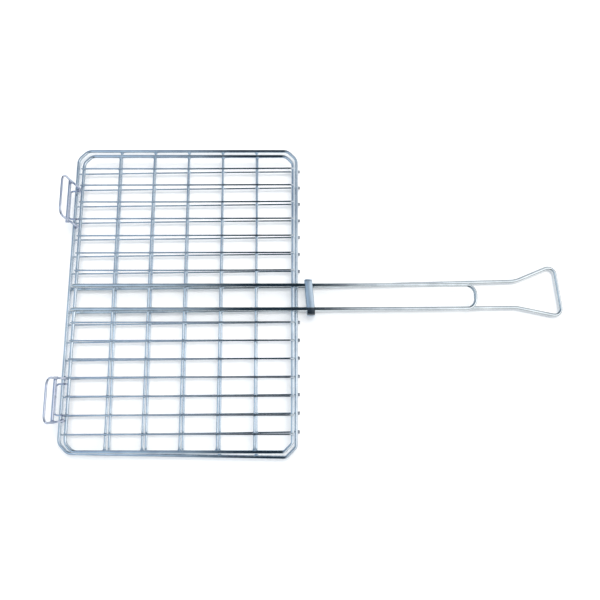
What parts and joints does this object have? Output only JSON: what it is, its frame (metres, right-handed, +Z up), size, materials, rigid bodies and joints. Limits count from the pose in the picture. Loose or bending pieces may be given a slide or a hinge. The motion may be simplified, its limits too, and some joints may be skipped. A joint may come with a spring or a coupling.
{
  "type": "grill basket",
  "caption": "Hinged double wire grid on long wire handles, closed over food for cooking above coals and locked by a sliding clip.",
  "frame": {"origin": "on the floor, below the middle of the whole object's box", "axes": "+X from the hinge end to the handle's grip, +Y across the basket, +Z up"},
  "size_m": [0.6439, 0.4045, 0.0622],
  "materials": {
    "frame_wire": "bright zinc-plated wire",
    "handle_wire": "bright zinc-plated wire",
    "long_wire": "bright zinc-plated wire",
    "cross_wire": "bright zinc-plated wire",
    "hinge_wire": "bright zinc-plated wire",
    "clip_strip": "zinc-plated folded strip"
  },
  "bodies": {
    "base": {"base_cross_wire_1": "cross_wire", "base_cross_wire_2": "cross_wire", "base_cross_wire_3": "cross_wire", "base_cross_wire_4": "cross_wire", "base_cross_wire_5": "cross_wire", "base_frame": "frame_wire", "base_handle": "handle_wire", "base_long_wire_01": "long_wire", "base_long_wire_02": "long_wire", "base_long_wire_03": "long_wire", "base_long_wire_04": "long_wire", "base_long_wire_05": "long_wire", "base_long_wire_06": "long_wire", "base_long_wire_07": "long_wire", "base_long_wire_08": "long_wire", "base_long_wire_09": "long_wire", "base_long_wire_10": "long_wire", "base_long_wire_11": "long_wire", "base_long_wire_12": "long_wire", "base_long_wire_13": "long_wire", "base_long_wire_14": "long_wire", "hinge_loop_far": "hinge_wire", "hinge_loop_near": "hinge_wire", "hinge_rung_far": "hinge_wire", "hinge_rung_near": "hinge_wire"},
    "lid": {"hinge_tab_far": "hinge_wire", "hinge_tab_near": "hinge_wire", "lid_cross_wire_1": "cross_wire", "lid_cross_wire_2": "cross_wire", "lid_cross_wire_3": "cross_wire", "lid_cross_wire_4": "cross_wire", "lid_cross_wire_5": "cross_wire", "lid_frame": "frame_wire", "lid_handle": "handle_wire", "lid_long_wire_01": "long_wire", "lid_long_wire_02": "long_wire", "lid_long_wire_03": "long_wire", "lid_long_wire_04": "long_wire", "lid_long_wire_05": "long_wire", "lid_long_wire_06": "long_wire", "lid_long_wire_07": "long_wire", "lid_long_wire_08": "long_wire", "lid_long_wire_09": "long_wire", "lid_long_wire_10": "long_wire", "lid_long_wire_11": "long_wire", "lid_long_wire_12": "long_wire", "lid_long_wire_13": "long_wire", "lid_long_wire_14": "long_wire"},
    "clip": {"handle_clip": "clip_strip"}
  },
  "joints": [
    {"name": "lid_hinge", "type": "hinge", "parent": "base", "child": "lid", "pos_m": [-0.3162, 0, 0.0233], "axis": [0, -1, 0], "range_deg": [0, 60]},
    {"name": "clip_slide", "type": "slide", "parent": "base", "child": "clip", "axis": [0.9999, 0.0159, 0], "range_m": [-0.006, 0.222]}
  ]
}
